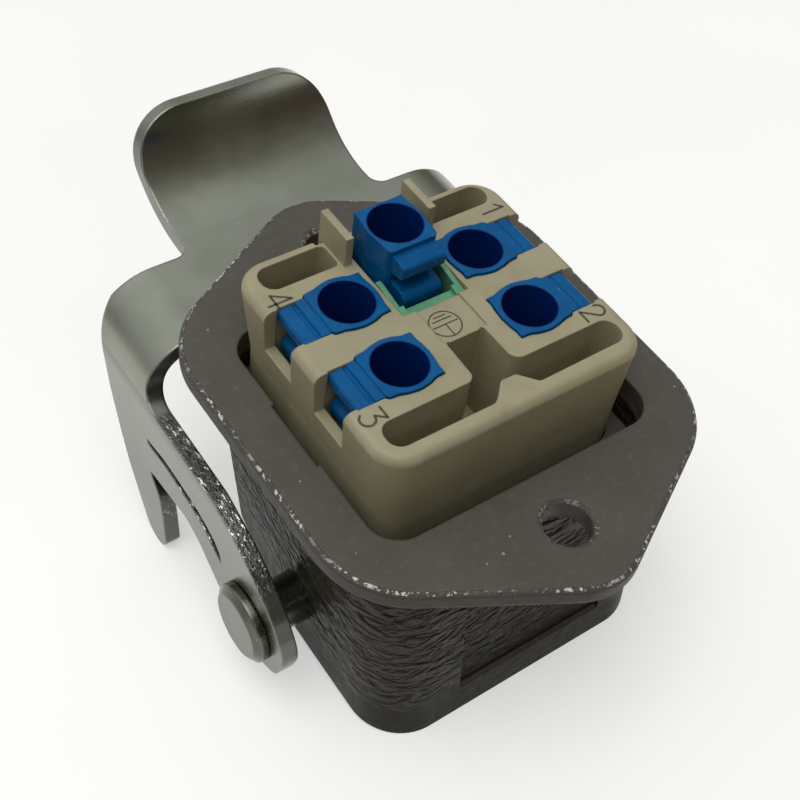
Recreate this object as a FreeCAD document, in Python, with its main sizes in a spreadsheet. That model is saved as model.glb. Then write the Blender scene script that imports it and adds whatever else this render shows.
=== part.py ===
import FreeCAD, Part
import math
import os
import Sketcher

V = FreeCAD.Vector
doc = FreeCAD.newDocument("connector")

# Driving dimensions in millimetres and degrees.
# X runs from the poles 4 and 3 to the poles 1 and 2, Y from the front to the lever's web,
# Z out of the wire side. The origin is on the flange's panel face, between the two screw holes.
DIMENSIONS = {
    "hole_pitch": 30.0, "screw_hole_r": 1.75, "screw_chamfer": 0.33,
    "flange_thick": 1.8, "flange_half_w": 15.76, "flange_tip": 21.08, "flange_corner_y": 12.5,
    "flange_tip_r": 5.3, "flange_corner_r": 7.6,
    "body_depth": 20.0, "body_top_half_w": 13.4, "body_top_front": 12.8, "body_top_back": 11.7,
    "body_rim_half_w": 13.03, "body_rim_front": 15.57, "body_rim_back": 10.3, "body_rim_back_half_w": 11.0,
    "body_taper_y": 3.2, "body_corner_r": 4.3, "wall": 1.7,
    "opening_half_w": 11.85, "opening_front": 10.75, "opening_back": 10.2, "opening_r": 2.4,
    "opening_depth": 4.0,
    "insert_top": 5.83, "insert_top_half_w": 11.15, "insert_top_front": 8.9, "insert_top_back": 11.3,
    "insert_half_w": 10.75, "insert_front": 8.7, "insert_back": 9.9, "insert_seat": 9.0,
    "insert_corner_r": 2.5, "insert_edge_r": 0.7, "insert_play": 0.1,
    "web_thick": 1.5, "web_window_half_w": 8.0, "web_window_front": 4.8, "web_window_back": 8.4,
    "pole_half_x": 5.545, "pole_half_y": 3.215, "pole_centre_y": 1.35,
    "entry_r": 2.0,
    "collar_half_x": 2.35, "collar_half_y": 2.3, "tab_half_y": 1.8, "tab_reach": 4.45,
    "actuator_top": 6.0, "actuator_foot": 4.0, "chamber_play": 0.07,
    "earth_y": 7.28, "earth_lift": 2.7,
    "contact_r": 1.7, "contact_bore_r": 1.27, "contact_end": 18.4, "contact_top": 4.5,
    "contact_play": 0.08, "contact_collar_r": 2.2, "contact_collar": 1.0,
    "block_half_w": 8.6, "block_front": 10.4, "block_back": 7.4, "block_end": 19.0,
    "screw_y": 6.9, "screw_r": 1.25, "screw_head_r": 2.4, "screw_head": 2.2, "screw_seat": 14.0,
    "lever_half_w": 17.4, "sheet": 1.3, "lever_bend_r": 5.3, "lever_top": 2.1,
    "lever_web_front": 13.2, "lever_web_back": 21.05, "tab_half_w": 8.8, "tab_flat": 1.83, "tab_curl_r": 8.1,
    "tab_curl": 75.8, "tab_corner_r": 4.45,
    "pivot_y": 3.2, "pivot_depth": 15.0, "pin_r": 2.0, "pin_play": 0.05, "pin_head_r": 3.2, "pin_head": 1.0,
    "pin_end": 11.5,
    "crotch_y": 12.3, "crotch_depth": 14.35, "crotch_r": 0.35, "prong_depth": 23.6,
    "fin_x": 3.5, "fin_thick": 0.6, "fin_top": 8.4, "fin_front": 7.6, "fin_back": 11.0,
    "seal_play": 0.25, "seal_thick": 1.5,
}
sheet = doc.addObject("Spreadsheet::Sheet", "Sizes")
row_number = 1
for word, value in DIMENSIONS.items():
    sheet.set("A%d" % row_number, word)
    sheet.set("B%d" % row_number, "%.6g" % value)
    sheet.setAlias("B%d" % row_number, word)
    row_number += 1
doc.recompute()


def size(word):
    return float(sheet.get(word))


def bind(thing, **expressions):
    for prop, text in expressions.items():
        if text is None:
            continue
        words = text
        for word in sorted(DIMENSIONS, key=len, reverse=True):
            words = words.replace("@" + word, "Sizes." + word)
        thing.setExpression(prop.replace("__", "."), words)


def place(thing, x="0", y="0", z="0"):
    bind(thing, Placement__Base__x=x, Placement__Base__y=y, Placement__Base__z=z)


def origin_plane(body, role):
    return [f for f in body.Origin.OriginFeatures if f.Role == role][0]


def outline(points, radii):
    # line and arc segments of a closed polygon whose corners are rounded
    segments = []
    count = len(points)
    starts, ends, arcs = [], [], []
    for i in range(count):
        p = V(points[i][0], points[i][1], 0)
        a = V(points[i - 1][0], points[i - 1][1], 0) - p
        b = V(points[(i + 1) % count][0], points[(i + 1) % count][1], 0) - p
        a.normalize()
        b.normalize()
        r = radii[i] if isinstance(radii, (list, tuple)) else radii
        half = a.getAngle(b) / 2.0
        if r <= 0 or abs(half - math.pi / 2) < 1e-4:
            starts.append(p)
            ends.append(p)
            arcs.append(None)
            continue
        t = r / math.tan(half)
        s = p + a * t
        e = p + b * t
        mid_dir = a + b
        mid_dir.normalize()
        centre = p + mid_dir * (r / math.sin(half))
        arcs.append(Part.Arc(s, centre - mid_dir * r, e))
        starts.append(s)
        ends.append(e)
    for i in range(count):
        if arcs[i] is not None:
            segments.append(arcs[i])
        nxt = starts[(i + 1) % count]
        if (nxt - ends[i]).Length > 1e-6:
            segments.append(Part.LineSegment(ends[i], nxt))
    return segments


def sketch_on(body, role, name, segments, offset=None):
    sk = body.newObject("Sketcher::SketchObject", name)
    sk.AttachmentSupport = [(origin_plane(body, role), "")]
    sk.MapMode = "FlatFace"
    if offset is not None:
        bind(sk, AttachmentOffset__Base__z=offset)
    for seg in segments:
        sk.addGeometry(seg, False)
    last = len(segments)
    for i in range(last):
        sk.addConstraint(Sketcher.Constraint("Block", i))
    return sk


def pad_body(label, role, segments, length, offset=None, midplane=False, back=False):
    body = doc.addObject("PartDesign::Body", label)
    sk = sketch_on(body, role, label + "_outline", segments, offset)
    pad = body.newObject("PartDesign::Pad", label + "_pad")
    pad.Profile = sk
    bind(pad, Length=length)
    if midplane:
        pad.Midplane = True
    if back:
        pad.Reversed = True
    sk.Visibility = False
    return body


def loft_body(label, low_segments, low_z, high_segments, high_z):
    body = doc.addObject("PartDesign::Body", label)
    low = sketch_on(body, "XY_Plane", label + "_low", low_segments, low_z)
    high = sketch_on(body, "XY_Plane", label + "_high", high_segments, high_z)
    loft = body.newObject("PartDesign::AdditiveLoft", label + "_loft")
    loft.Profile = low
    loft.Sections = [high]
    loft.Ruled = True
    return body


def box(label, length, width, height, x, y, z):
    b = doc.addObject("Part::Box", label)
    bind(b, Length=length, Width=width, Height=height)
    place(b, x, y, z)
    return b


def cylinder(label, radius, height, x, y, z, turn=None):
    c = doc.addObject("Part::Cylinder", label)
    if turn is not None:
        c.Placement = FreeCAD.Placement(V(0, 0, 0), turn)
    bind(c, Radius=radius, Height=height)
    place(c, x, y, z)
    return c


def cone(label, r_low, r_high, height, x, y, z, turn=None):
    c = doc.addObject("Part::Cone", label)
    if turn is not None:
        c.Placement = FreeCAD.Placement(V(0, 0, 0), turn)
    bind(c, Radius1=r_low, Radius2=r_high, Height=height)
    place(c, x, y, z)
    return c


def fuse(label, things):
    f = doc.addObject("Part::MultiFuse", label)
    f.Shapes = things
    f.Refine = True
    return f


def cut(label, base, tool):
    c = doc.addObject("Part::Cut", label)
    c.Base = base
    c.Tool = tool
    c.Refine = True
    return c


def common(label, a, b):
    c = doc.addObject("Part::MultiCommon", label)
    c.Shapes = [a, b]
    c.Refine = True
    return c


def fillet(label, base, radius, keep):
    doc.recompute()
    f = doc.addObject("Part::Fillet", label)
    f.Base = base
    picked = []
    for number, edge in enumerate(base.Shape.Edges, 1):
        if keep(edge):
            picked.append((number, radius, radius))
    f.Edges = picked
    return f


TO_X = FreeCAD.Rotation(V(0, 1, 0), 90)
FROM_X = FreeCAD.Rotation(V(0, 1, 0), -90)
NODES = {}

# Housing: flange

half_w = size("flange_half_w")
tip = size("flange_tip")
corner_y = size("flange_corner_y")
tip_r = size("flange_tip_r")
corner_r = size("flange_corner_r")
flange_points = [(0, -tip), (half_w, -corner_y), (half_w, corner_y), (0, tip), (-half_w, corner_y),
                 (-half_w, -corner_y)]
flange_radii = [tip_r, corner_r, corner_r, tip_r, corner_r, corner_r]
flange = pad_body("flange", "XY_Plane", outline(flange_points, flange_radii), "@flange_thick",
                  offset="-@flange_thick")
flange_soft = fillet("flange_soft", flange, 0.45,
                     lambda e: e.BoundBox.ZMin > -0.01 or e.BoundBox.ZMax < -size("flange_thick") + 0.01)

# Housing: body below the flange, its front wall leaning outwards and its sides narrowing to the back


def body_outline(front, back, side, side_back, inset, corner):
    s = side - inset
    sb = side_back - inset
    f = front - inset
    b = back - inset
    ty = -size("body_taper_y")
    pts = [(-s, -f), (s, -f), (s, ty), (sb, b), (-sb, b), (-s, ty)]
    r = max(corner - inset, 0.8)
    rb = max(corner - 1.2 - inset, 0.8)
    return outline(pts, [r, r, 0, rb, rb, 0])


def body_reach(depth):
    # how far the body reaches to the front, the back, the side and the side at the back, at a depth
    k = (depth - size("flange_thick")) / (size("body_depth") - size("flange_thick"))
    front = size("body_top_front") + k * (size("body_rim_front") - size("body_top_front"))
    back = size("body_top_back") + k * (size("body_rim_back") - size("body_top_back"))
    side = size("body_top_half_w") + k * (size("body_rim_half_w") - size("body_top_half_w"))
    side_back_top = size("body_top_half_w") - 0.4
    side_back = side_back_top + k * (size("body_rim_back_half_w") - side_back_top)
    return front, back, side, side_back


def body_section(depth, inset):
    front, back, side, side_back = body_reach(depth)
    return body_outline(front, back, side, side_back, inset, size("body_corner_r"))


thick = size("flange_thick")
depth = size("body_depth")
shell = loft_body("shell", body_section(depth, 0.0), "-@body_depth", body_section(thick - 0.9, 0.0),
                  "-@flange_thick + 0.9")
seat = size("insert_seat")
web = size("web_thick")
cavity = loft_body("cavity", body_section(depth + 0.5, size("wall")), "-@body_depth - 0.5",
                   body_section(seat + web, size("wall")), "-@insert_seat - @web_thick")

ow = size("opening_half_w")
of = size("opening_front")
ob = size("opening_back")
opening_points = [(-ow, -of), (ow, -of), (ow, ob), (-ow, ob)]
opening = pad_body("opening", "XY_Plane", outline(opening_points, size("opening_r")),
                   "@opening_depth + 1", offset="-@opening_depth")
play = size("insert_play")
iw = size("insert_half_w")
inf = size("insert_front")
inb = size("insert_back")
pocket_points = [(-iw - play, -inf - play), (iw + play, -inf - play), (iw + play, inb + play),
                 (-iw - play, inb + play)]
pocket = pad_body("pocket", "XY_Plane", outline(pocket_points, 2.1), "@insert_seat + 1",
                  offset="-@insert_seat")
ww = size("web_window_half_w")
wf = size("web_window_front")
wb = size("web_window_back")
window_points = [(-ww, -wf), (ww, -wf), (ww, wb), (-ww, wb)]
window = pad_body("window", "XY_Plane", outline(window_points, 1.2), "@web_thick + 1",
                  offset="-@insert_seat - @web_thick - 0.5")
relief = box("relief", "0.5", "6", "@opening_depth + 1", "-@opening_half_w - 0.25", "-2.7", "-@opening_depth")
relief_right = box("relief_right", "0.5", "6", "@opening_depth + 1", "@opening_half_w - 0.25", "-2.7",
                   "-@opening_depth")
tools = [cavity, opening, pocket, window, relief, relief_right]
for side, sign in (("front", "-1"), ("back", "1")):
    spot = sign + " * @hole_pitch / 2"
    tools.append(cylinder("screw_hole_" + side, "@screw_hole_r", "@flange_thick + 2", "0", spot,
                          "-@flange_thick - 1"))
    tools.append(cone("screw_mouth_" + side, "@screw_hole_r", "@screw_hole_r + 2 * @screw_chamfer",
                      "2 * @screw_chamfer", "0", spot, "-@screw_chamfer"))
tools.append(cylinder("web_screw_hole", "@screw_r + 0.15", "@web_thick + 2", "0", "-@screw_y",
                      "-@insert_seat - @web_thick - 1"))
bore_left = cylinder("pin_bore_left", "@pin_r", "6", "-@pin_end - 4", "-@pivot_y", "-@pivot_depth", TO_X)
bore_right = cylinder("pin_bore_right", "@pin_r", "6", "@pin_end - 2", "-@pivot_y", "-@pivot_depth", TO_X)
tools.append(bore_left)
tools.append(bore_right)
# shallow marking field in the front wall, left bare
field = box("marking_field", "13.6", "1.2", "11.0", "-6.1", "0", "0")
field.Placement = FreeCAD.Placement(V(0, 0, 0), FreeCAD.Rotation(V(1, 0, 0), -8.65))
place(field, "-6.1", "-@body_rim_front - 0.4", "-@body_depth + 2.9")
tools.append(field)
casting = fuse("casting", [flange_soft, shell])
housing = cut("housing", casting, fuse("housing_hollows", tools))
NODES["housing"] = housing

# Pivot pins: shank in the housing wall, chamfered head outside the lever's arm

for side, turn, sign in (("left", FROM_X, "-1"), ("right", TO_X, "1")):
    x_in = sign + " * @pin_end"
    x_head = sign + " * (@lever_half_w + 0.06)"
    shank = cylinder("pin_shank_" + side, "@pin_r", "@lever_half_w + 0.2 - @pin_end", x_in, "-@pivot_y",
                     "-@pivot_depth", turn)
    head = cylinder("pin_disc_" + side, "@pin_head_r", "@pin_head * 0.55", x_head, "-@pivot_y",
                    "-@pivot_depth", turn)
    crown = cone("pin_crown_" + side, "@pin_head_r", "@pin_head_r - @pin_head * 0.6", "@pin_head * 0.45",
                 sign + " * (@lever_half_w + 0.06 + @pin_head * 0.55)", "-@pivot_y", "-@pivot_depth", turn)
    pin = fuse("pivot_pin_" + side, [shank, head, crown])
    NODES["pivot_pin_" + side] = pin

# Locking lever: one sheet, web behind the flange, two arms, thumb tab curled up

hw = size("lever_half_w")
t = size("sheet")
br = size("lever_bend_r")
top = -size("lever_top")
low = -26.0
u_points = [(-hw, low), (-hw, top), (hw, top), (hw, low), (hw - t, low), (hw - t, top - t),
            (-hw + t, top - t), (-hw + t, low)]
u_radii = [0, br, br, 0, 0, br - t, br - t, 0]
channel = pad_body("lever_channel", "XZ_Plane", outline(u_points, u_radii), "30.4", offset="-@lever_web_back")
wfr = size("lever_web_front")
wbk = size("lever_web_back")
cy = size("crotch_y")
cd = -size("crotch_depth")
pd = -size("prong_depth")
# seen from the side: web corner, upper edge, eye round the pin, lower edge, crotch, prong, back edge
side_points = [
    (wfr, 0.5), (wfr, -6.5), (2.3, -6.55), (-0.6, -7.2), (-3.0, -8.25), (-6.2, -10.6), (-8.35, -13.6),
    (-7.3, -17.0), (-4.8, -18.2), (0.7, -16.55), (4.2, -14.2), (6.2, -13.5), (8.4, -13.85), (cy, cd),
    (10.7, -16.4), (10.2, -19.0), (9.7, pd), (12.7, pd + 0.6), (14.2, -20.6), (16.05, -17.45),
    (17.2, -14.6), (18.5, -10.9), (19.4, -6.9), (wbk, top - t - 0.05), (wbk, 0.5)]
side_radii = [0, 2.4, 6, 6, 8, 4, 3, 2.0, 1.6, 5, 3, 3, 6, size("crotch_r"),
              4, 8, 1.5, 1.7, 6, 10, 12, 12, 6, 0, 0]
arms = pad_body("lever_side", "YZ_Plane", outline(side_points, side_radii), "2 * @lever_half_w + 4",
                midplane=True)
plate = common("lever_plate", channel, arms)

cr = size("tab_curl_r")
ca = math.radians(size("tab_curl"))
y0 = wbk + size("tab_flat")
c0 = V(y0, top + cr, 0)


def curl(r, a):
    return V(c0.x + r * math.sin(a), c0.y - r * math.cos(a), 0)


tab_segments = [
    Part.LineSegment(V(wbk - 0.6, top, 0), V(wbk - 0.6, top - t, 0)),
    Part.LineSegment(V(wbk - 0.6, top - t, 0), V(y0, top - t, 0)),
    Part.Arc(V(y0, top - t, 0), curl(cr + t, ca / 2), curl(cr + t, ca)),
    Part.LineSegment(curl(cr + t, ca), curl(cr, ca)),
    Part.Arc(curl(cr, ca), curl(cr, ca / 2), V(y0, top, 0)),
    Part.LineSegment(V(y0, top, 0), V(wbk - 0.6, top, 0)),
]
tab = pad_body("lever_tab", "YZ_Plane", tab_segments, "2 * @tab_half_w", midplane=True)


def tip_corner(e):
    return (abs(e.Length - t) < 0.02 and abs(abs(e.BoundBox.XMin) - size("tab_half_w")) < 0.01
            and abs(e.BoundBox.XLength) < 1e-3 and e.BoundBox.YMin > wbk + 5)


tab_round = fillet("lever_tab_round", tab, size("tab_corner_r"), tip_corner)
blank = fuse("lever_blank", [plate, tab_round])


def notch_corner(e):
    return (e.BoundBox.XLength < 1e-3 and e.BoundBox.YLength < 1e-3 and abs(e.Length - t) < 0.02
            and abs(abs(e.BoundBox.XMin) - size("tab_half_w")) < 0.05 and abs(e.BoundBox.YMin - wbk) < 0.05)


blank_soft = fillet("lever_blank_soft", blank, 1.2, notch_corner)
eye_left = cylinder("eye_left", "@pin_r + @pin_play", "@sheet + 2", "-@lever_half_w - 1",
                    "-@pivot_y", "-@pivot_depth", TO_X)
eye_right = cylinder("eye_right", "@pin_r + @pin_play", "@sheet + 2", "@lever_half_w - @sheet - 1",
                     "-@pivot_y", "-@pivot_depth", TO_X)
# curved slit through each arm, pointed at both ends
slit_upper = [(12.45, -10.5), (11.4, -10.36), (9.6, -10.02), (7.0, -10.02), (4.8, -10.15), (3.0, -10.55),
              (1.7, -11.1), (1.0, -11.85), (0.72, -12.8)]
slit_lower = [(1.6, -12.42), (2.6, -11.8), (4.1, -11.25), (6.1, -10.92), (8.3, -10.78), (10.0, -10.74),
              (11.4, -10.98), (12.1, -11.0)]
slit_radii = [0.1, 4, 4, 12, 12, 6, 2, 1.2, 0.1, 4, 4, 6, 12, 12, 6, 3, 0.2]
slits = pad_body("slits", "YZ_Plane", outline(slit_upper + slit_lower, slit_radii),
                 "2 * @lever_half_w + 4", midplane=True)
lever = cut("locking_lever", blank_soft, fuse("lever_cuts", [eye_left, eye_right, slits]))
NODES["locking_lever"] = lever

# Insert: beige terminal block

ith = size("insert_top_half_w")
itf = size("insert_top_front")
itb = size("insert_top_back")
icr = size("insert_corner_r")
top_outline = outline([(-ith, -itf), (ith, -itf), (ith, itb), (-ith, itb)], icr)
low_outline = outline([(-iw, -inf), (iw, -inf), (iw, inb), (-iw, inb)], 2.0)
head_block = loft_body("insert_head", top_outline, "@insert_top", low_outline, "0")
head_soft = fillet("insert_head_soft", head_block, size("insert_edge_r"),
                   lambda e: e.BoundBox.ZMin > size("insert_top") - 0.01)
foot_outline = outline([(-iw, -inf), (iw, -inf), (iw, inb), (-iw, inb)], 2.0)
foot_block = pad_body("insert_foot", "XY_Plane", foot_outline, "@insert_seat", offset="-@insert_seat")
fins = []
for side, sign in (("left", "-1"), ("right", "1")):
    fins.append(box("fin_" + side, "@fin_thick", "@fin_back - @fin_front", "@fin_top - 0.05",
                    sign + " * @fin_x - @fin_thick / 2", "@fin_front", "0.05"))
back_step = box("insert_back_step", "8.8", "2", "@insert_top + 1", "-4.4", "10.4", "-0.5")
head_cut = cut("insert_head_cut", head_soft, back_step)
block = fuse("insert_block", [head_cut, foot_block] + fins)

hollows = []
groove_points = [(-9.8, -7.65), (-1.9, -7.65), (-1.45, -7.4), (-0.35, -6.25), (0.9, -6.3), (2.0, -7.6),
                 (9.9, -7.5), (10.05, -5.3), (1.6, -5.3), (1.55, -1.7), (-1.65, -1.7), (-1.75, -5.35),
                 (-9.8, -5.4)]
groove_radii = [1.0, 0.4, 0.3, 0.4, 0.4, 0.5, 1.0, 1.0, 0.9, 0.3, 0.3, 0.7, 1.0]
groove = pad_body("groove", "XY_Plane", outline(groove_points, groove_radii), "9.3",
                  offset="@insert_top - 8.3")
hollows.append(groove)
left_points = [(-9.75, 7.95), (-3.95, 7.95), (-3.95, 10.25), (-9.75, 10.2)]
right_points = [(9.95, 8.3), (9.95, 10.4), (3.95, 10.3), (3.95, 8.3)]
pocket_left = pad_body("pocket_left", "XY_Plane", outline(left_points, [1.0, 0.4, 0.5, 1.0]), "9.3",
                       offset="@insert_top - 8.3")
pocket_right = pad_body("pocket_right", "XY_Plane", outline(right_points, [1.0, 1.0, 0.4, 0.4]), "9.3",
                        offset="@insert_top - 8.3")
hollows.append(box("earth_platform", "3.7", "3.4", "1", "-1.75", "-1.7", "@insert_top - 0.2"))
hollows.append(pocket_left)
hollows.append(pocket_right)

POLES = [("1", 1, 1), ("2", 1, -1), ("3", -1, -1), ("4", -1, 1)]


def spot_x(sx):
    return "%d * @pole_half_x" % sx


def spot_y(sy):
    return "@pole_centre_y + %d * @pole_half_y" % sy


def collar_outline(ring_u, ring_v, gap):
    # a ring's bulge on each side between four pointed corners, as the top of a collar shows
    chx = size("collar_half_x") - 0.1
    chy = size("collar_half_y") - 0.28
    th = size("tab_half_y")
    half = [(-chx - 0.12, th), (-chx + 0.1, chy + 0.02), (-1.45, chy + 0.08), (-0.85, ring_v - 0.14),
            (0, ring_v), (0.85, ring_v - 0.14), (1.5, chy + 0.03), (chx, chy), (chx - 0.02, 1.4),
            (ring_u - 0.08, 0.8)]
    bends = [0.06, 0.2, 0.8, 1.6, 1.8, 1.6, 0.7, 0.06, 0.8, 1.2]
    grown = []
    for px, py in half:
        grown.append((px + math.copysign(gap, px) if abs(px) > 0.01 else px, py + gap))
    points = [(px, -py) for px, py in grown] + [(ring_u + gap, 0)] + list(reversed(grown))
    radii = bends + [1.8] + list(reversed(bends))
    return outline(points, radii)


RING_U = size("collar_half_x") + 0.07
RING_V = size("collar_half_y") + 0.13
EARTH_RING = size("collar_half_x") - 0.07
for name, sx, sy in POLES:
    x_mid = spot_x(sx)
    y_mid = spot_y(sy)
    chamber = pad_body("chamber_" + name, "XY_Plane", collar_outline(RING_U, RING_V, size("chamber_play")),
                       "@insert_top + @actuator_foot + 1.2", offset="-@actuator_foot - 0.2")
    chamber.Placement = FreeCAD.Placement(V(0, 0, 0), FreeCAD.Rotation(V(0, 0, 1), 0 if sx < 0 else 180))
    place(chamber, x_mid, y_mid, "0")
    hollows.append(chamber)
    reach = "@tab_reach + @chamber_play"
    hollows.append(box("tab_slot_" + name, reach, "2 * (@tab_half_y + @chamber_play)", "@insert_top + 1.2",
                       x_mid + (" - @tab_reach - @chamber_play" if sx < 0 else ""),
                       y_mid + " - @tab_half_y - @chamber_play", "-0.2"))
    hollows.append(box("side_window_" + name, "3", "2 * (@tab_half_y + @chamber_play) - 0.25", "@insert_top",
                       x_mid + (" - @tab_reach - 3 + 0.3" if sx < 0 else " + @tab_reach - 0.3"),
                       y_mid + " - @tab_half_y - @chamber_play + 0.125", "2.2"))
    hollows.append(cylinder("contact_hole_" + name, "@contact_r + @contact_play", "@insert_seat", x_mid,
                            y_mid, "-@insert_seat - 0.5"))
hollows.append(box("earth_chamber", "5.6", "7.96", "@insert_top + @actuator_foot + 1.2", "-2.8", "1.7",
                   "-@actuator_foot - 0.2"))
hollows.append(cylinder("earth_hole", "@contact_r + @contact_play", "@insert_seat", "0", "@earth_y",
                        "-@insert_seat - 0.5"))
hollows.append(box("plate_slot", "3.3", "15.9", "1.05", "-1.65", "-8.4", "-@insert_seat - 0.5"))
hollows.append(cylinder("insert_screw_hole", "@screw_r + 0.05", "6.2", "0", "-@screw_y",
                        "-@insert_seat - 0.5"))
insert = cut("insert_body", block, fuse("insert_hollows", hollows))
NODES["insert_body"] = insert

# Actuators: collar with the wire's bore, tab to the outside with a step, lower bar


def actuator(label, centre_x, centre_y, turn, lift, ring_u, ring_v, reach_in):
    chx = size("collar_half_x")
    tr = size("tab_reach") - reach_in
    top_z = size("actuator_top")
    drop = 0.16 + 0.35 * reach_in
    collar = pad_body(label + "_collar", "XY_Plane", collar_outline(ring_u, ring_v, 0.0),
                      "@actuator_top + @actuator_foot", offset="-@actuator_foot")
    face = top_z - drop
    tab_points = [(-tr, face - 0.2), (-tr, face - 1.25), (-chx + 0.6, face - 1.65), (-chx + 0.6, face)]
    tab_radii = [0.28, 0.3, 0, 0]
    if reach_in == 0:
        tab_points += [(-chx - 0.7, face), (-chx - 0.82, face - 0.26), (-chx - 1.0, face - 0.26),
                       (-chx - 1.1, face - 0.1)]
        tab_radii += [0.1, 0.06, 0.06, 0.08]
    else:
        tab_points += [(-chx - 0.6, face)]
        tab_radii += [0.5]
    tab_profile = outline(tab_points, tab_radii)
    tab_top = pad_body(label + "_tab", "XZ_Plane", tab_profile, "2 * @tab_half_y", midplane=True)
    bar_end = -size("tab_reach") + 0.35
    bar_profile = outline([(bar_end, top_z - 3.0), (bar_end, top_z - 4.6), (-chx + 0.6, top_z - 5.2),
                           (-chx + 0.6, top_z - 2.8)], [0.7, 0.7, 0, 0])
    bar = pad_body(label + "_bar", "XZ_Plane", bar_profile, "2 * @tab_half_y - 0.3", midplane=True)
    lump = fuse(label + "_lump", [collar, tab_top, bar])
    hole = cylinder(label + "_bore", "@entry_r", "@actuator_top + @actuator_foot + 2", "0", "0",
                    "-@actuator_foot - 1")
    piece = cut(label, lump, hole)
    piece.Placement = FreeCAD.Placement(V(0, 0, 0), FreeCAD.Rotation(V(0, 0, 1), turn))
    place(piece, centre_x, centre_y, lift)
    NODES[label] = piece
    return piece


for name, sx, sy in POLES:
    actuator("actuator_" + name, spot_x(sx), spot_y(sy), 0 if sx < 0 else 180, "0", RING_U, RING_V, 0.0)
actuator("earth_actuator", "0", "@earth_y", 90, "@earth_lift", EARTH_RING, EARTH_RING, 0.7)

# Green frame round the earth terminal

outer_points = [(-2.75, 1.8), (2.75, 1.8), (2.75, 9.0), (-2.75, 9.0)]
frame_out = pad_body("earth_frame_out", "XY_Plane", outline(outer_points, [0.3, 0.3, 0.05, 0.05]), "3.2",
                     offset="@insert_top - 3.95")
wing_profile = outline([(5.25, 3.0), (5.25, size("insert_top") + 0.12), (4.75, size("insert_top") + 0.12),
                        (1.85, size("insert_top") - 0.4), (1.85, 3.0)], [0, 0.1, 0.3, 0.12, 0])
wings = pad_body("earth_frame_wings", "YZ_Plane", wing_profile, "5.5", midplane=True)
wing_gap = box("earth_frame_gap", "4.1", "9.0", "3", "-2.05", "1.0", "@insert_top - 0.76")
frame_raised = fuse("earth_frame_raised", [frame_out, cut("earth_frame_sides", wings, wing_gap)])
frame_in = box("earth_frame_in", "4.72", "8.0", "6", "-2.36", "2.72", "@insert_top - 5")
earth_frame = cut("earth_frame", frame_raised, frame_in)
NODES["earth_frame"] = earth_frame

# Socket contacts with a fork at the wire end

for name, sx, sy in POLES:
    label = "contact_" + name
    x_mid = spot_x(sx)
    y_mid = spot_y(sy)
    stem = cylinder(label + "_stem", "@contact_r", "@contact_end - @contact_top", x_mid, y_mid,
                    "-@contact_end")
    ring = cylinder(label + "_ring", "@contact_collar_r", "@contact_collar - 0.05", x_mid, y_mid,
                    "-@insert_seat - @contact_collar + 0.02")
    lump = fuse(label + "_lump", [stem, ring])
    socket = cylinder(label + "_socket", "@contact_bore_r", "8", x_mid, y_mid, "-@contact_end - 0.5")
    fork = box(label + "_fork", "0.8", "6", "3", x_mid + " - 0.4", y_mid + " - 3", "-@contact_top - 2.6")
    split = box(label + "_split", "6", "0.4", "6", x_mid + " - 3", y_mid + " - 0.2", "-@contact_end - 0.5")
    NODES[label] = cut(label, lump, fuse(label + "_cuts", [socket, fork, split]))

# Earth contact, its plate and the fixing screw

earth_stem = cylinder("earth_stem", "@contact_r", "@insert_seat - 0.5 - @contact_top", "0", "@earth_y",
                      "-@insert_seat + 0.5")
earth_blade = box("earth_blade", "3.1", "0.6", "10.2", "-1.55", "@block_back + 0.06", "-17.8")
earth_lump = fuse("earth_lump", [earth_stem, earth_blade])
earth_fork = box("earth_fork", "0.8", "6", "3", "-0.4", "@earth_y - 3", "-@contact_top - 2.6")
NODES["earth_contact"] = cut("earth_contact", earth_lump, earth_fork)
strip = box("strip", "3.2", "15.7", "0.5", "-1.6", "-8.3", "-@insert_seat")
strip_hole = cylinder("strip_hole", "@screw_r + 0.05", "2", "0", "-@screw_y", "-@insert_seat - 0.5")
NODES["earth_plate"] = cut("earth_plate", strip, strip_hole)
screw_shank = cylinder("screw_shank", "@screw_r", "@screw_seat - 4", "0", "-@screw_y", "-@screw_seat")
screw_head = cylinder("screw_head_disc", "@screw_head_r", "@screw_head", "0", "-@screw_y",
                      "-@screw_seat - @screw_head")
screw_lump = fuse("screw_lump", [screw_shank, screw_head])
recess_a = box("recess_a", "2.8", "0.6", "1.3", "-1.4", "-@screw_y - 0.3", "-@screw_seat - @screw_head - 0.1")
recess_b = box("recess_b", "0.6", "2.8", "1.3", "-0.3", "-@screw_y - 1.4", "-@screw_seat - @screw_head - 0.1")
NODES["fixing_screw"] = cut("fixing_screw", screw_lump, fuse("screw_recess", [recess_a, recess_b]))

# Lower moulding with the socket chambers

bw = size("block_half_w")
bf = size("block_front")
bb = size("block_back")
lower_points = [(-bw, -bf), (bw, -bf), (bw, bb), (-bw, bb)]
lower = pad_body("lower_block", "XY_Plane", outline(lower_points, [1.5, 1.5, 1.0, 1.0]),
                 "@block_end - @insert_seat - @web_thick", offset="-@block_end")
neck = pad_body("neck", "XY_Plane", outline([(-7.85, -4.65), (7.85, -4.65), (7.85, bb), (-7.85, bb)], 1.0),
                "@web_thick", offset="-@insert_seat - @web_thick")
lower_lump = fuse("lower_lump", [lower, neck])
lower_cuts = []
for name, sx, sy in POLES:
    lower_cuts.append(cylinder("lower_bore_" + name, "@contact_r + 0.05", "@block_end + 1", spot_x(sx),
                               spot_y(sy), "-@block_end - 1"))
    lower_cuts.append(cylinder("lower_seat_" + name, "@contact_collar_r + 0.05", "@contact_collar + 1",
                               spot_x(sx), spot_y(sy), "-@insert_seat - @contact_collar - 0.03"))
lower_cuts.append(cylinder("lower_screw", "@screw_r + 0.15", "12", "0", "-@screw_y", "-@block_end - 1"))
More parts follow.
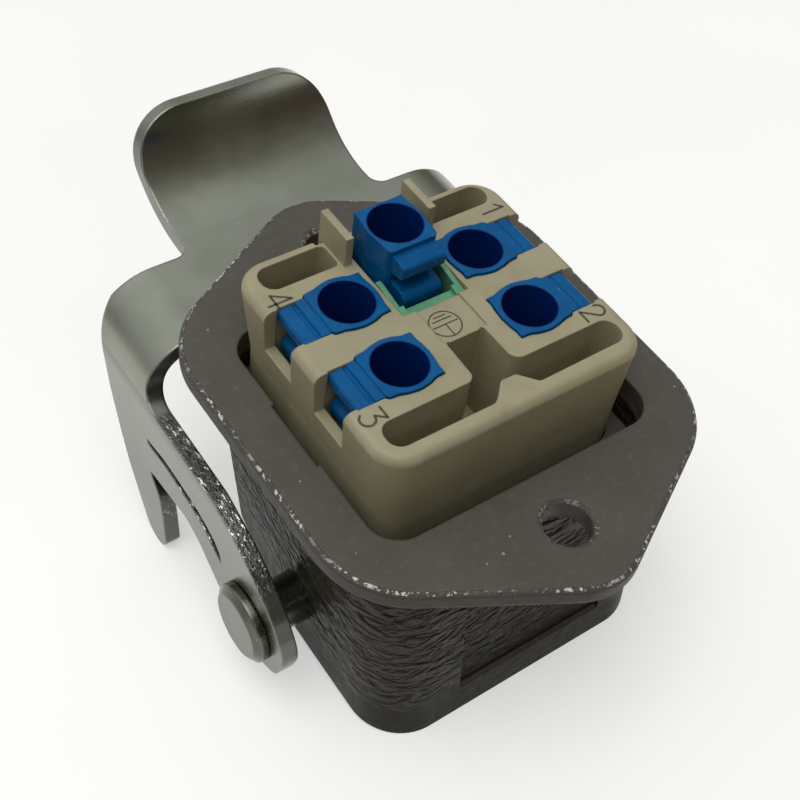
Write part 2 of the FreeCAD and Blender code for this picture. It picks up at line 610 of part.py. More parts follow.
lower_cuts.append(cylinder("lower_head", "@screw_head_r + 0.2", "@block_end - @screw_seat + 1", "0",
                           "-@screw_y", "-@block_end - 1"))
NODES["mating_face"] = cut("mating_face", lower_lump, fuse("lower_cuts", lower_cuts))

# Rubber ring at the bottom of the mating cavity

seal_top = seat + web
seal_foot = seal_top + size("seal_thick")
inward = size("wall") + size("seal_play")
sf = body_reach(seal_top)[0] - inward
sb = body_reach(seal_foot)[1] - inward
sw = body_reach(seal_foot)[3] - inward
ring_out = pad_body("seal_out", "XY_Plane", outline([(-sw, -sf), (sw, -sf), (sw, sb), (-sw, sb)], 1.8),
                    "@seal_thick", offset="-@insert_seat - @web_thick - @seal_thick")
ring_in = pad_body("seal_in", "XY_Plane",
                   outline([(-bw - 0.1, -bf - 0.1), (bw + 0.1, -bf - 0.1), (bw + 0.1, bb + 0.75),
                            (-bw - 0.1, bb + 0.75)], [1.5, 1.5, 1.0, 1.0]),
                   "@seal_thick + 2", offset="-@insert_seat - @web_thick - @seal_thick - 1")
NODES["mating_seal"] = cut("mating_seal", ring_out, ring_in)

doc.recompute()

wrong = []
for o in doc.Objects:
    if "Invalid" in o.State or "Error" in o.State:
        wrong.append(o.Name + ": " + o.getStatusString())
if wrong:
    raise SystemExit("failed objects: " + ", ".join(wrong))
for label, piece in NODES.items():
    shape = piece.Shape
    if shape.isNull() or not shape.isValid():
        raise SystemExit("bad shape: " + label)
    if len(shape.Solids) != 1:
        print("note:", label, "has", len(shape.Solids), "solids")
os.makedirs("parts", exist_ok=True)
for label, piece in NODES.items():
    piece.Label = label
    piece.Shape.exportStep("parts/%s.step" % label)
    b = piece.Shape.BoundBox
    print("%-16s vol %9.2f  x %7.2f %7.2f  y %7.2f %7.2f  z %7.2f %7.2f" % (
        label, piece.Shape.Volume, b.XMin, b.XMax, b.YMin, b.YMax, b.ZMin, b.ZMax))
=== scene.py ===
import math

import bmesh
import bpy
from mathutils import Matrix, Vector


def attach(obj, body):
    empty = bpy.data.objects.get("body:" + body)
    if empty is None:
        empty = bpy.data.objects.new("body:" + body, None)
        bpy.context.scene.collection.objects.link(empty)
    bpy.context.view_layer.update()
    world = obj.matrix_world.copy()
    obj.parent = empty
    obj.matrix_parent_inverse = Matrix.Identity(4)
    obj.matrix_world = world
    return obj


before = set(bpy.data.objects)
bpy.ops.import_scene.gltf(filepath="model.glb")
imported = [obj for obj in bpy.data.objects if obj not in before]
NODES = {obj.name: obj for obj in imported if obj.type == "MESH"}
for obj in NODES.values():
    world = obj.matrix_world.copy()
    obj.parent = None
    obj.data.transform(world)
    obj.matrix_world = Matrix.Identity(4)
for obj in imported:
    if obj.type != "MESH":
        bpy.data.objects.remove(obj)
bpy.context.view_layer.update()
MM = 0.001
scene = bpy.context.scene
scene.view_settings.view_transform = "Standard"

# Places that the materials and marks share with the part, in millimetres
INSERT_TOP = 5.83        # the insert's top face
PLATFORM_DROP = 0.2      # how far the earth sign's field lies below that face
POLE_X, POLE_Y = 5.545, 3.215
POLE_MIDDLE_Y = 1.35     # the four pole bores lie at (+-POLE_X, POLE_MIDDLE_Y +- POLE_Y)
EARTH_Y = 7.28           # the earth bore lies at (0, EARTH_Y)
BORE_R = 2.0
SCREW_Y, SCREW_R = 15.0, 1.75        # the flange's screw holes lie at (0, +-SCREW_Y)
FLANGE_LIP_Z = -0.5      # the flange's upper edge is rounded above this
FLANGE_UNDER_Z = -1.5    # the walls start below this
RIM_Z = -17.6            # the plain band round the rim ends here
ARM_TOP_Z = -6.2         # the lever's arms lie below this
TAB_START_Y = 21.4       # the thumb tab lies beyond this
TORN_FRONT_Y, TORN_BACK_Y = -3.0, 9.8        # the torn stretch of the arms' upper faces

# Radii of the rounded edges, in millimetres
WALL_EDGE = 0.3
SHEET_EDGE = 0.25
PIN_EDGE = 0.3
INSERT_EDGE = 0.16
ACTUATOR_EDGE = 0.14
SMALL_EDGE = 0.1
SEAL_EDGE = 0.2
BEVEL_SAMPLES = 6


# Shader helpers

class Shader:
    """A material's node tree, with short calls for the nodes used below."""

    def __init__(self, name, edge_radius=0.0):
        self.material = bpy.data.materials.new(name)
        self.material.use_nodes = True
        self.tree = self.material.node_tree
        self.tree.nodes.clear()
        surface = self.node("ShaderNodeOutputMaterial").inputs["Surface"]
        self.bsdf = self.node("ShaderNodeBsdfPrincipled")
        self.link(self.bsdf.outputs["BSDF"], surface)
        coordinates = self.node("ShaderNodeTexCoord")
        self.place = coordinates.outputs["Object"]
        self.face = coordinates.outputs["Normal"]
        self.geometry = self.node("ShaderNodeNewGeometry")
        self.rounded = None
        if edge_radius:
            bevel = self.node("ShaderNodeBevel", samples=BEVEL_SAMPLES)
            bevel.inputs["Radius"].default_value = edge_radius * MM
            self.rounded = bevel.outputs["Normal"]

    def node(self, kind, **settings):
        made = self.tree.nodes.new(kind)
        for key, value in settings.items():
            setattr(made, key, value)
        return made

    def link(self, a, b):
        self.tree.links.new(a, b)

    def put(self, socket, value):
        """Link a socket to another one, or give it a number or colour of its own."""
        if isinstance(value, bpy.types.NodeSocket):
            self.link(value, socket)
        elif value is not None:
            socket.default_value = value

    def scaled(self, sx, sy, sz):
        """Object coordinates in millimetres, stretched along each axis."""
        made = self.node("ShaderNodeMapping")
        self.link(self.place, made.inputs["Vector"])
        made.inputs["Scale"].default_value = (sx / MM, sy / MM, sz / MM)
        return made.outputs["Vector"]

    def noise(self, scale, detail=2.0, rough=0.5, distortion=0.0, vector=None):
        made = self.node("ShaderNodeTexNoise")
        self.link(vector or self.scaled(1, 1, 1), made.inputs["Vector"])
        made.inputs["Scale"].default_value = scale
        made.inputs["Detail"].default_value = detail
        made.inputs["Roughness"].default_value = rough
        made.inputs["Distortion"].default_value = distortion
        return made.outputs["Fac"]

    def lumps(self, scale, smooth, vector=None):
        made = self.node("ShaderNodeTexVoronoi", feature="SMOOTH_F1")
        self.link(vector or self.scaled(1, 1, 1), made.inputs["Vector"])
        made.inputs["Scale"].default_value = scale
        made.inputs["Smoothness"].default_value = smooth
        return made.outputs["Distance"]

    def specks(self, per_mm, radius, share):
        """1 inside small round specks, in the given share of the cells of a grid."""
        made = self.node("ShaderNodeTexVoronoi", feature="F1")
        self.link(self.scaled(1, 1, 1), made.inputs["Vector"])
        made.inputs["Scale"].default_value = per_mm
        split = self.node("ShaderNodeSeparateColor")
        self.link(made.outputs["Color"], split.inputs["Color"])
        chosen = self.math("GREATER_THAN", split.outputs["Red"], 1.0 - share)
        reach = self.math("MULTIPLY", split.outputs["Green"], radius * per_mm)
        inside = self.math("LESS_THAN", made.outputs["Distance"], reach)
        return self.math("MULTIPLY", chosen, inside)

    def ramp(self, value, low, high, to_low=0.0, to_high=1.0):
        made = self.node("ShaderNodeMapRange", interpolation_type="SMOOTHSTEP")
        self.put(made.inputs["Value"], value)
        made.inputs["From Min"].default_value = low
        made.inputs["From Max"].default_value = high
        made.inputs["To Min"].default_value = to_low
        made.inputs["To Max"].default_value = to_high
        return made.outputs["Result"]

    def math(self, kind, a, b=None, clamp=False):
        made = self.node("ShaderNodeMath", operation=kind, use_clamp=clamp)
        self.put(made.inputs[0], a)
        self.put(made.inputs[1], b)
        return made.outputs["Value"]

    def times(self, *values):
        product = values[0]
        for value in values[1:]:
            product = self.math("MULTIPLY", product, value)
        return product

    def mix(self, fac, a, b):
        made = self.node("ShaderNodeMix", data_type="RGBA")
        self.put(made.inputs["Factor"], fac)
        for socket, colour in (("A", a), ("B", b)):
            self.put(made.inputs[socket], (*colour, 1.0) if isinstance(colour, tuple) else colour)
        return made.outputs["Result"]

    def split(self, vector):
        made = self.node("ShaderNodeSeparateXYZ")
        self.link(vector, made.inputs["Vector"])
        return made.outputs

    def position(self):
        return self.split(self.scaled(1, 1, 1))

    def facing(self):
        """How far a face points along each axis, from 0 to 1."""
        return [self.math("ABSOLUTE", part) for part in self.split(self.face)]

    def fold(self, value, middle, spot):
        """Distance of a coordinate from the two mirrored spots on either side of a middle."""
        off_middle = self.math("ABSOLUTE", self.math("SUBTRACT", value, middle))
        return self.math("SUBTRACT", off_middle, spot)

    def length(self, a, b):
        return self.math("SQRT", self.math("ADD", self.times(a, a), self.times(b, b)))

    def edges(self, low, high):
        """1 close to an edge, 0 on flat areas."""
        dot = self.node("ShaderNodeVectorMath", operation="DOT_PRODUCT")
        self.link(self.rounded, dot.inputs[0])
        self.link(self.geometry.outputs["Normal"], dot.inputs[1])
        return self.ramp(self.math("SUBTRACT", 1.0, dot.outputs["Value"]), low, high)

    def bump(self, height, depth, normal=None):
        made = self.node("ShaderNodeBump")
        made.inputs["Strength"].default_value = 1.0
        made.inputs["Distance"].default_value = depth * MM
        self.put(made.inputs["Height"], height)
        if normal is not None:
            self.link(normal, made.inputs["Normal"])
        return made.outputs["Normal"]

    def set(self, **sockets):
        """Fill the surface's sockets, whose names are written with _ for a space."""
        for key, value in sockets.items():
            name = key.replace("_", " ")
            if name == "Base Color" and isinstance(value, tuple):
                value = (*value, 1.0)
            self.put(self.bsdf.inputs[name], value)
        return self.material


# Materials: noise scales are per millimetre, bump depths and edge radii in millimetres

def enamel():
    s = Shader("hammered_enamel", WALL_EDGE)
    x, y, z = s.position()
    nz = s.facing()[2]
    # wrinkles on the walls below the flange, plain paint at the rim and on the flange's faces
    wall = s.ramp(nz, 0.75, 0.35)
    above_rim = s.ramp(z, RIM_Z, RIM_Z + 3.8)
    below_flange = s.ramp(z, FLANGE_UNDER_Z, FLANGE_UNDER_Z - 0.7)
    low_wall = s.times(wall, below_flange)
    zone = s.times(low_wall, above_rim)
    flow = s.scaled(0.55, 0.55, 1.35)
    ripples = s.noise(0.85, 2.3, 0.45, 1.2, flow)
    lumps = s.lumps(1.2, 0.5, s.scaled(0.65, 0.65, 1.2))
    hammered = s.math("ADD", s.ramp(ripples, 0.34, 0.64), s.times(lumps, 0.8))
    hammered = s.times(hammered, s.math("ADD", s.times(zone, 0.95), 0.02))
    peel = s.noise(1.3, 3.0, 0.6)
    grit = s.noise(6.5, 3.0, 0.65)
    # the flange's rounded upper edge, with painted glints: short dashes of near-white base colour
    tipped = s.times(s.ramp(nz, 0.985, 0.93), s.ramp(nz, 0.12, 0.3))
    lip = s.times(tipped, s.ramp(z, FLANGE_LIP_Z - 0.1, FLANGE_LIP_Z))
    crest = s.times(lip, s.ramp(nz, 0.55, 0.7))
    gathered = s.ramp(s.noise(0.22, 2.0, 0.5), 0.36, 0.6)
    # fewer painted glints at the screw holes' mouths
    screw_off = s.length(x, s.fold(y, 0.0, SCREW_Y))
    screw_glint_share = s.ramp(screw_off, SCREW_R + 0.6, SCREW_R + 1.2, 0.3, 1.0)
    dashes = s.ramp(s.noise(2.6, 3.0, 0.65), 0.53, 0.56)
    painted_edge_glints = s.times(crest, gathered, screw_glint_share, dashes)
    n = s.bump(peel, 0.05, s.rounded)
    n = s.bump(grit, 0.012, n)
    n = s.bump(s.times(lip, s.noise(1.9, 3.0, 0.6)), 0.2, n)
    n = s.bump(hammered, 0.36, n)
    tone = s.ramp(s.noise(0.13, 3.0, 0.6), 0.3, 0.7)
    base = s.mix(tone, (0.088, 0.083, 0.073), (0.105, 0.1, 0.088))
    base = s.mix(s.times(s.ramp(grit, 0.35, 0.7), 0.5), base, (0.074, 0.068, 0.057))
    base = s.mix(s.times(s.ramp(peel, 0.52, 0.7), 0.4), base, (0.12, 0.116, 0.104))
    # painted shade: the walls below the flange get a far darker base than the flange's faces,
    # darkest in the hollows of the wrinkles
    raised = s.ramp(hammered, 0.35, 1.1)
    painted_wall_shade = s.mix(raised, (0.011, 0.0088, 0.005), (0.034, 0.028, 0.0165))
    base = s.mix(s.times(low_wall, 0.9), base, painted_wall_shade)
    base = s.mix(s.times(s.specks(0.75, 0.13, 0.4), 0.7), base, (0.32, 0.32, 0.3))
    # painted glints: the dashes on the flange's upper edge get a near-white base colour
    base = s.mix(s.times(painted_edge_glints, 0.85), base, (0.78, 0.78, 0.75))
    flat_rough = s.ramp(s.noise(0.9, 3.0, 0.6), 0.3, 0.7, 0.36, 0.46)
    wall_rough = s.ramp(s.noise(1.4, 2.0), 0.3, 0.7, 0.3, 0.38)
    off_zone = s.math("SUBTRACT", 1.0, zone)
    rough = s.math("ADD", s.times(zone, wall_rough), s.times(off_zone, flat_rough))
    return s.set(Base_Color=base, Roughness=rough, Normal=n, Specular_IOR_Level=0.12)


def zinc(name, edge_radius, dark, light, cut_faces=True):
    s = Shader(name, edge_radius)
    y, z = s.position()[1:3]
    nx, ny = s.facing()[0:2]
    on_arm = s.math("LESS_THAN", z, ARM_TOP_Z)
    sheared = 0.0
    if cut_faces:
        # faces cut across the sheet: on the arms, on the web's and bends' ends, on the tab's sides
        on_tab = s.math("GREATER_THAN", y, TAB_START_Y)
        on_web = s.times(s.math("SUBTRACT", 1.0, on_arm), s.math("SUBTRACT", 1.0, on_tab))
        arm_side = s.times(on_arm, s.ramp(nx, 0.5, 0.2))
        sheared = s.math("ADD", arm_side, s.times(on_web, s.ramp(ny, 0.6, 0.85), 0.4))
        sheared = s.math("ADD", sheared, s.times(on_tab, s.ramp(nx, 0.6, 0.85)), clamp=True)
    upwards = s.ramp(s.split(s.face)["Z"], 0.1, 0.35)
    stretch = s.times(s.ramp(y, TORN_BACK_Y + 1.4, TORN_BACK_Y),
                      s.ramp(y, TORN_FRONT_Y - 3.0, TORN_FRONT_Y))
    torn_part = s.times(sheared, on_arm, upwards, stretch)
    cloud = s.noise(0.16, 3.0, 0.5)
    rolled = s.noise(1.0, 3.0, 0.55, 0.0, s.scaled(0.5, 5.0, 5.0))
    fine = s.noise(9.0, 3.0, 0.65)
    torn = s.noise(2.6, 4.0, 0.65, 0.5, s.scaled(1.0, 0.6, 1.0))
    streaks = s.noise(3.3, 3.0, 0.6, 0.3, s.scaled(1.1, 0.4, 1.0))
    glints = s.ramp(streaks, 0.575, 0.62)
    edge = s.edges(0.02, 0.25)
    n = s.bump(s.noise(0.12, 1.0, 0.4), 0.06, s.rounded)
    n = s.bump(rolled, 0.003, n)
    n = s.bump(fine, 0.0016, n)
    n = s.bump(s.times(torn_part, torn), 0.11, n)
    spangle = s.ramp(s.noise(1.1, 4.0, 0.7), 0.6, 0.72)
    base = s.mix(s.ramp(cloud, 0.35, 0.65), dark, light)
    base = s.mix(s.times(spangle, 0.3), base, (0.27, 0.27, 0.245))
    # painted shade: the sheet and the pins get darker towards the bottom, where the lever stands
    # in shade
    base = s.mix(s.ramp(z, -4.0, -18.0, 0.0, 0.7), base, (0.09, 0.095, 0.077))
    # painted shade: faces below the web that look sideways, the arms' and pins' outer faces, get a
    # darker base
    base = s.mix(s.times(on_arm, s.ramp(nx, 0.6, 0.9), 0.35), base, (0.14, 0.148, 0.125))
    # the cut faces get a darker base: partly the rough cut's own tone, partly painted shade in the
    # slit and the prongs' crotch
    cut_tone_and_shade = s.times(sheared, s.ramp(torn_part, 0.0, 1.0, 0.5, 0.85))
    base = s.mix(cut_tone_and_shade, base, (0.1, 0.105, 0.105))
    # painted glints: streaks on the torn stretch of the arms' upper faces get a near-white base
    # colour
    base = s.mix(s.times(torn_part, glints), base, (0.9, 0.9, 0.88))
    # painted highlight: a lighter band along the rounded edges
    base = s.mix(s.times(edge, 0.35), base, (0.5, 0.51, 0.47))
    base = s.mix(s.times(s.specks(0.9, 0.1, 0.35), 0.4), base, (0.65, 0.65, 0.62))
    rough = s.ramp(s.math("ADD", cloud, s.times(rolled, 0.4)), 0.45, 0.95, 0.19, 0.29)
    rough = s.math("ADD", rough, s.times(sheared, 0.05))
    return s.set(Base_Color=base, Roughness=rough, Normal=n, Metallic=1.0)


def beige():
    s = Shader("beige_moulding", INSERT_EDGE)
    grain = s.noise(7.0, 3.0, 0.6)
    flow = s.noise(0.5, 3.0, 0.6, 0.0, s.scaled(1, 1, 0.25))
    n = s.bump(grain, 0.004, s.rounded)
    n = s.bump(s.noise(0.4, 2.0), 0.02, n)
    tone = s.ramp(s.noise(0.2, 2.0, 0.6), 0.3, 0.7)
    base = s.mix(tone, (0.322, 0.297, 0.192), (0.355, 0.329, 0.218))
    base = s.mix(s.times(s.ramp(flow, 0.52, 0.75), 0.35), base, (0.25, 0.222, 0.14))
    # painted highlight: a lighter band along the rounded edges
    base = s.mix(s.times(s.edges(0.02, 0.35), 0.35), base, (0.37, 0.35, 0.27))
    base = s.mix(s.times(s.specks(0.6, 0.11, 0.35), 0.55), base, (0.15, 0.125, 0.085))
    base = s.mix(s.times(s.specks(0.45, 0.09, 0.3), 0.6), base, (0.5, 0.48, 0.4))
    rough = s.ramp(s.noise(1.6, 3.0), 0.3, 0.7, 0.4, 0.52)
    return s.set(Base_Color=base, Roughness=rough, Normal=n, Specular_IOR_Level=0.45,
                 Subsurface_Weight=0.06, Subsurface_Scale=1.0,
                 Subsurface_Radius=(0.4 * MM, 0.3 * MM, 0.2 * MM))


def blue():
    s = Shader("blue_moulding", ACTUATOR_EDGE)
    grain = s.noise(5.0, 3.0, 0.6)
    n = s.bump(grain, 0.004, s.rounded)
    n = s.bump(s.noise(0.8, 2.0, 0.5, 0.5), 0.04, n)
    tone = s.ramp(s.noise(0.6, 3.0, 0.6), 0.3, 0.7)
    base = s.mix(tone, (0.0005, 0.08, 0.25), (0.0008, 0.1, 0.3))
    # painted highlight: a lighter band along the rounded edges
    base = s.mix(s.times(s.edges(0.02, 0.4), 0.3), base, (0.004, 0.2, 0.45))
    base = s.mix(s.times(s.specks(0.8, 0.12, 0.35), 0.5), base, (0.2, 0.36, 0.5))
    # painted shade: the bores' walls are darkened, standing for the shade deep inside the bores
    x, y = s.position()[0:2]
    pole_off = s.length(s.fold(x, 0.0, POLE_X), s.fold(y, POLE_MIDDLE_Y, POLE_Y))
    earth_off = s.length(x, s.math("SUBTRACT", y, EARTH_Y))
    off = s.math("MINIMUM", pole_off, earth_off)
    bore_shade = s.ramp(off, BORE_R + 0.12, BORE_R + 0.02)
    base = s.mix(s.times(bore_shade, 0.8), base, (0.0001, 0.004, 0.12))
    rough = s.ramp(s.noise(2.2, 3.0), 0.3, 0.7, 0.24, 0.36)
    return s.set(Base_Color=base, Roughness=rough, Normal=n, Specular_IOR_Level=0.14,
                 Subsurface_Weight=0.06, Subsurface_Scale=1.0,
                 Subsurface_Radius=(0.05 * MM, 0.2 * MM, 0.5 * MM))


def green():
    s = Shader("green_moulding", SMALL_EDGE)
    n = s.bump(s.noise(6.0, 3.0, 0.55), 0.004, s.rounded)
    tone = s.ramp(s.noise(0.7, 3.0, 0.6), 0.3, 0.7)
    base = s.mix(tone, (0.095, 0.3, 0.175), (0.125, 0.36, 0.215))
    # painted highlight: a lighter band along the rounded edges
    base = s.mix(s.times(s.edges(0.02, 0.4), 0.4), base, (0.26, 0.5, 0.36))
    base = s.mix(s.times(s.specks(0.8, 0.1, 0.3), 0.5), base, (0.4, 0.58, 0.47))
    rough = s.ramp(s.noise(2.5, 3.0), 0.3, 0.7, 0.32, 0.44)
    return s.set(Base_Color=base, Roughness=rough, Normal=n,
                 Subsurface_Weight=0.08, Subsurface_Scale=1.0,
                 Subsurface_Radius=(0.2 * MM, 0.5 * MM, 0.3 * MM))


def silver():
    s = Shader("silver_contact", SMALL_EDGE)
    turned = s.noise(1.0, 2.0, 0.6, 0.0, s.scaled(0.4, 0.4, 22.0))
    n = s.bump(turned, 0.004, s.rounded)
    tone = s.ramp(s.noise(0.9, 3.0, 0.6), 0.3, 0.7)
    tarnish = s.ramp(s.noise(2.3, 3.0, 0.7), 0.6, 0.7)
    base = s.mix(tone, (0.62, 0.6, 0.54), (0.74, 0.73, 0.69))
    base = s.mix(s.times(tarnish, 0.3), base, (0.42, 0.38, 0.3))
    rough = s.ramp(turned, 0.3, 0.7, 0.2, 0.32)
    return s.set(Base_Color=base, Roughness=rough, Normal=n, Metallic=1.0)


def rubber():
    s = Shader("black_rubber", SEAL_EDGE)
    n = s.bump(s.noise(5.0, 3.0, 0.6), 0.01, s.rounded)
    tone = s.ramp(s.noise(1.2, 3.0, 0.6), 0.3, 0.7)
    base = s.mix(tone, (0.013, 0.013, 0.014), (0.026, 0.026, 0.027))
    rough = s.ramp(s.noise(2.5, 2.0), 0.3, 0.7, 0.6, 0.78)
    return s.set(Base_Color=base, Roughness=rough, Normal=n)


def ink():
    s = Shader("mark_ink")
    n = s.bump(s.noise(9.0, 2.0, 0.6), 0.006)
    tone = s.ramp(s.noise(3.5, 3.0, 0.7), 0.35, 0.65)
    base = s.mix(tone, (0.05, 0.042, 0.03), (0.09, 0.077, 0.056))
    rough = s.ramp(s.noise(3.0, 2.0), 0.3, 0.7, 0.55, 0.7)
    return s.set(Base_Color=base, Roughness=rough, Normal=n)


# Which piece wears which material

MATERIALS = {
    "enamel": enamel(),
    "sheet": zinc("zinc_plated_sheet", SHEET_EDGE, (0.27, 0.285, 0.24), (0.315, 0.33, 0.282)),
    "pin": zinc("zinc_plated_pin", PIN_EDGE, (0.15, 0.155, 0.128), (0.185, 0.19, 0.158),
                cut_faces=False),
    "beige": beige(),
    "blue": blue(),
    "green": green(),
    "silver": silver(),
    "rubber": rubber(),
    "ink": ink(),
}
WEARERS = {
    "enamel": ["housing"],
    "sheet": ["locking_lever"],
    "pin": ["pivot_pin_left", "pivot_pin_right", "fixing_screw"],
    "beige": ["insert_body", "mating_face"],
    "blue": ["actuator_1", "actuator_2", "actuator_3", "actuator_4", "earth_actuator"],
    "green": ["earth_frame"],
    "silver": ["contact_1", "contact_2", "contact_3", "contact_4", "earth_contact", "earth_plate"],
    "rubber": ["mating_seal"],
}
for finish, wearers in WEARERS.items():
    for wearer in wearers:
        slots = NODES[wearer].data.materials
        slots.clear()
        slots.append(MATERIALS[finish])


# Marks on the insert's top: digits of the poles and the earth sign.
# A stroke's points are (u, v) in millimetres, u towards the front and v to the insert's right.

DISC_POINTS = 12
STROKE_STEP = 0.002      # round joints lie one or two of these over the strokes, so none coincide
DIGIT_HALF_WIDTH = 0.09
SIGN_HALF_WIDTH = 0.055
PRINT_LIFT = 0.015       # the print lies this far over the face


def ribbon(target, line, half):
    """A flat stroke with round joints along a line of 3-D points on the top face."""
    for a, b in zip(line, line[1:]):
        along = (b - a).normalized()
        side = Vector((-along.y, along.x, 0)) * half
        ring = [target.verts.new(p) for p in (a + side, a - side, b - side, b + side)]
        target.faces.new(ring)
    for i, p in enumerate(line):
        lift = Vector((0, 0, STROKE_STEP * MM * (i % 2 + 1)))
        disc = []
        for k in range(DISC_POINTS):
            turn = math.tau * k / DISC_POINTS
            spoke = Vector((math.cos(turn), math.sin(turn), 0)) * half
            disc.append(target.verts.new(p + spoke + lift))
        target.faces.new(disc)


def mark(name, centre, strokes, half, top):
    """One printed mark: its strokes as thin flat faces that look up and ride on the base."""
    shape = bmesh.new()
    for stroke in strokes:
        line = [Vector(((centre[0] + v) * MM, (centre[1] - u) * MM, top * MM)) for u, v in stroke]
        ribbon(shape, line, half * MM)
    bmesh.ops.recalc_face_normals(shape, faces=shape.faces)
    for face in shape.faces:
        if face.normal.z < 0:
            face.normal_flip()
    mesh = bpy.data.meshes.new(name)
    shape.to_mesh(mesh)
    shape.free()
    piece = bpy.data.objects.new(name, mesh)
    scene.collection.objects.link(piece)
    mesh.materials.append(MATERIALS["ink"])
    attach(piece, "base")


def arc(cu, cv, r, start, end, steps):
    """Points on an arc round (cu, cv), from one angle in degrees to another."""
    points = []
    for k in range(steps + 1):
        turn = math.radians(start + (end - start) * k / steps)
        points.append((cu + r * math.cos(turn), cv + r * math.sin(turn)))
    return points


DIGITS = {
    "1": [[(-0.42, 0.45), (0.08, 0.92), (0.08, -0.92)]],
    "2": [[(-0.5, 0.4)] + arc(0.0, 0.42, 0.5, 165, -20, 8) + [(-0.5, -0.9), (0.56, -0.9)]],
    "3": [[(-0.5, 0.9), (0.5, 0.9), (-0.05, 0.2)] + arc(0.0, -0.36, 0.56, 85, -150, 9)],
    "4": [[(0.3, -0.92), (0.3, 0.92), (-0.58, -0.35), (0.62, -0.35)]],
}
DIGIT_PLACES = {"1": (9.3, 7.45), "2": (9.3, -4.45), "3": (-9.6, -4.65), "4": (-9.5, 7.1)}
EARTH_SIGN = [arc(0, 0, 1.17, 0, 360, 32), [(0.03, 0), (1.14, 0)], [(0.03, -1.0), (0.03, 1.0)],
              [(-0.44, -0.75), (-0.44, 0.75)], [(-0.77, -0.45), (-0.77, 0.45)]]
EARTH_SIGN_PLACE = (-0.5, -0.14)
for digit, place in DIGIT_PLACES.items():
    mark("digit_" + digit, place, DIGITS[digit], DIGIT_HALF_WIDTH, INSERT_TOP + PRINT_LIFT)
mark("earth_sign", EARTH_SIGN_PLACE, EARTH_SIGN, SIGN_HALF_WIDTH,
     INSERT_TOP - PLATFORM_DROP + PRINT_LIFT)


# Camera at the photograph's angle

CAMERA_PLACE = (-43.8, -44.9, 70.8)      # millimetres
FOCAL_LENGTH, SENSOR_WIDTH = 58.88, 36.0
CLIP_NEAR, CLIP_FAR = 0.002, 20.0        # metres

azimuth, elevation, roll = math.radians(-42.05), math.radians(49.94), math.radians(9.84)
back = Vector((math.sin(azimuth) * math.cos(elevation), -math.cos(azimuth) * math.cos(elevation),
               math.sin(elevation)))
level = Vector((math.cos(azimuth), math.sin(azimuth), 0))
upright = back.cross(level)
right = level * math.cos(roll) + upright * math.sin(roll)
up = upright * math.cos(roll) - level * math.sin(roll)
eye = bpy.data.cameras.new("camera")
eye.lens = FOCAL_LENGTH
eye.sensor_width = SENSOR_WIDTH
eye.clip_start = CLIP_NEAR
eye.clip_end = CLIP_FAR
camera = bpy.data.objects.new("camera", eye)
scene.collection.objects.link(camera)
rows = [(right[k], up[k], back[k], CAMERA_PLACE[k] * MM) for k in range(3)]
camera.matrix_world = Matrix((*rows, (0, 0, 0, 1)))
scene.camera = camera


# Floor with a low backdrop all round: the part stands on the front edge of its rim and on the
# lever's two prongs

FLOOR_REACH = 1.5        # metres from the middle to each side
BACKDROP_TOP = 0.17      # height of the backdrop's upper edge
FLOOR_GAP = 0.03 * MM    # the floor lies this far below the rim
RIM_BAND = 0.2 * MM      # points this close to the lowest one belong to the rim
FLOOR_GLOW = 0.47        # makes the floor look white without more light on the object


def pale_floor():
    s = Shader("pale_floor")
    tone = s.ramp(s.noise(0.02, 3.0, 0.5), 0.3, 0.7)
    pale = s.mix(tone, (0.56, 0.56, 0.555), (0.59, 0.59, 0.585))
    # the light that the floor throws back on the object is that of a darker table
    path = s.node("ShaderNodeLightPath").outputs
    seen = s.math("ADD", path["Is Camera Ray"], path["Is Glossy Ray"])
    seen = s.math("ADD", seen, path["Is Transmission Ray"], clamp=True)
    base = s.mix(seen, (0.27, 0.235, 0.185), pale)
    glow = s.math("MULTIPLY", seen, FLOOR_GLOW)
    n = s.bump(s.noise(1.5, 2.0), 0.002)
    rough = s.ramp(s.noise(0.3, 2.0), 0.3, 0.7, 0.55, 0.65)
    return s.set(Base_Color=base, Roughness=rough, Normal=n, Specular_IOR_Level=0.2,
                 Emission_Color=(1.0, 1.0, 0.995, 1.0), Emission_Strength=glow)


prong = min((v.co for v in NODES["locking_lever"].data.vertices), key=lambda c: c.z)
housing_points = [v.co for v in NODES["housing"].data.vertices]
rim_z = min(p.z for p in housing_points)
rim_y = min(p.y for p in housing_points if p.z < rim_z + RIM_BAND)
tilt = math.atan2(prong.z - rim_z, prong.y - rim_y)
floor_mesh = bpy.data.meshes.new("floor")
centre = Vector((0, rim_y, rim_z - FLOOR_GAP))
corners = []
for sx, sy in ((-1, -1), (1, -1), (1, 1), (-1, 1)):
    corners.append(centre + Vector((sx, sy * math.cos(tilt), sy * math.sin(tilt))) * FLOOR_REACH)
corners += [Vector((corner.x, corner.y, BACKDROP_TOP)) for corner in corners]
sides = [(k, (k + 1) % 4, (k + 1) % 4 + 4, k + 4) for k in range(4)]
floor_mesh.from_pydata(corners, [], [(0, 1, 2, 3)] + sides)
floor = bpy.data.objects.new("floor", floor_mesh)
scene.collection.objects.link(floor)
floor_mesh.materials.append(pale_floor())


# Lights: a soft lamp overhead, a small one that makes the edges glint, and a room that is
# brightest above and behind the lever

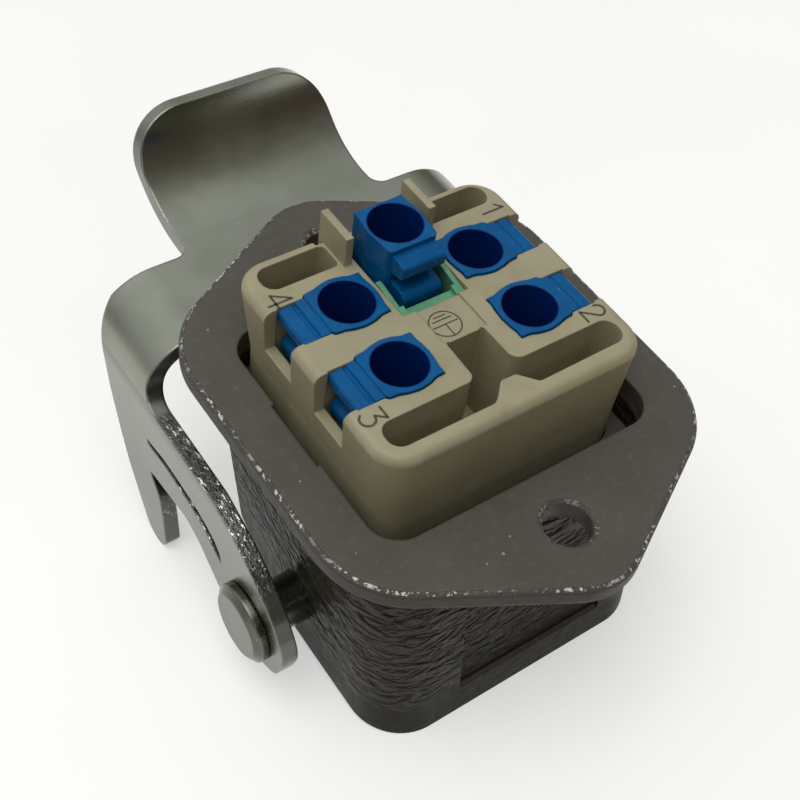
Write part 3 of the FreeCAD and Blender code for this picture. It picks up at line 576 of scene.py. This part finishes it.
LAMP_SIDE = Vector((-0.25, -0.05, 0.97)).normalized()
LAMP_DISTANCE = 0.55
SPARKLE_PLACE = Vector((-0.06, -0.43, 0.41))
SKY_SIDE = Vector((-0.22, 0.52, 0.82)).normalized()
SKY_STOPS = [(0.0, (0.1, 0.08, 0.065)), (0.45, (0.13, 0.1, 0.078)), (0.6, (0.2, 0.172, 0.145)),
             (0.75, (0.33, 0.32, 0.29)), (0.88, (0.66, 0.675, 0.65)), (1.0, (0.9, 0.91, 0.88))]


def area(name, place, size, power, colour):
    """A square lamp that looks at the object."""
    lamp = bpy.data.lights.new(name, "AREA")
    lamp.shape = "SQUARE"
    lamp.size = size
    lamp.energy = power
    lamp.color = colour
    made = bpy.data.objects.new(name, lamp)
    scene.collection.objects.link(made)
    made.location = place
    made.rotation_mode = "QUATERNION"
    made.rotation_quaternion = (-place).to_track_quat("-Z", "Y")


area("key_soft", LAMP_SIDE * LAMP_DISTANCE, 0.4, 1.4, (1.0, 0.99, 0.96))
area("sparkle", SPARKLE_PLACE, 0.06, 0.12, (1.0, 1.0, 1.0))

world = bpy.data.worlds.new("studio")
scene.world = world
world.use_nodes = True
tree = world.node_tree
tree.nodes.clear()
out = tree.nodes.new("ShaderNodeOutputWorld")
room = tree.nodes.new("ShaderNodeBackground")
direction = tree.nodes.new("ShaderNodeTexCoord").outputs["Generated"]
side = tree.nodes.new("ShaderNodeVectorMath")
side.operation = "DOT_PRODUCT"
tree.links.new(direction, side.inputs[0])
side.inputs[1].default_value = SKY_SIDE
spread = tree.nodes.new("ShaderNodeMapRange")
spread.inputs["From Min"].default_value = -1.0
tree.links.new(side.outputs["Value"], spread.inputs["Value"])
ramp = tree.nodes.new("ShaderNodeValToRGB")
tree.links.new(spread.outputs["Result"], ramp.inputs["Fac"])
stops = ramp.color_ramp.elements
stops.remove(stops[1])
for k, (at, colour) in enumerate(SKY_STOPS):
    stop = stops.new(at) if k else stops[0]
    stop.position = at
    stop.color = (*colour, 1)
tree.links.new(ramp.outputs["Color"], room.inputs["Color"])
tree.links.new(room.outputs["Background"], out.inputs["Surface"])
